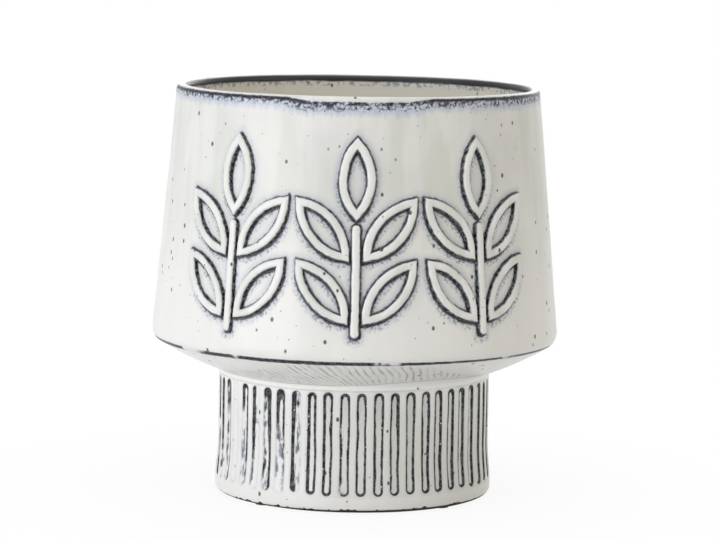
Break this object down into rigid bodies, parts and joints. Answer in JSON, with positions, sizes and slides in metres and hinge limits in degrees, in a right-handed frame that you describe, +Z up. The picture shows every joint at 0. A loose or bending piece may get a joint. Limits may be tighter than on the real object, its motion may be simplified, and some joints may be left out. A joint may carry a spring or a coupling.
{
  "type": "ceramic planter",
  "caption": "White glazed stoneware planter: a wide tapering bowl with raised leaf lines on its front, on a narrower fluted foot with a lift-out drain plug and felt pads.",
  "frame": {"origin": "on the planter's axis, on the table that it stands on", "axes": "+Z up along the planter's axis, -Y out of its decorated front, +X to the right as seen from the front"},
  "size_m": [0.179, 0.1803, 0.18],
  "materials": {
    "white_glaze": "glossy white glaze with sparse iron specks, dark blue where it breaks over edges and in the flutes",
    "relief_glaze": "raised lines in a thicker white glaze with dark blue edges",
    "slip": "smoothed slip under the glaze",
    "silicone": "matt dark grey silicone",
    "felt": "grey-brown felt"
  },
  "bodies": {
    "pot": {"bowl": "white_glaze", "luting_seam": "slip", "fluted_foot": "white_glaze", "sprig_1_stem": "relief_glaze", "sprig_1_leaf_1_left": "relief_glaze", "sprig_1_leaf_1_right": "relief_glaze", "sprig_1_leaf_2_left": "relief_glaze", "sprig_1_leaf_2_right": "relief_glaze", "sprig_1_leaf_top": "relief_glaze", "sprig_2_stem": "relief_glaze", "sprig_2_leaf_1_left": "relief_glaze", "sprig_2_leaf_1_right": "relief_glaze", "sprig_2_leaf_2_left": "relief_glaze", "sprig_2_leaf_2_right": "relief_glaze", "sprig_2_leaf_top": "relief_glaze", "sprig_3_stem": "relief_glaze", "sprig_3_leaf_1_left": "relief_glaze", "sprig_3_leaf_1_right": "relief_glaze", "sprig_3_leaf_2_left": "relief_glaze", "sprig_3_leaf_2_right": "relief_glaze", "sprig_3_leaf_top": "relief_glaze", "pad_1": "felt", "pad_2": "felt", "pad_3": "felt", "pad_4": "felt"},
    "plug": {"drain_plug": "silicone"}
  },
  "joints": [
    {"name": "plug_lift", "type": "slide", "parent": "pot", "child": "plug", "axis": [0, 0, 1], "range_m": [0, 0.19]}
  ]
}
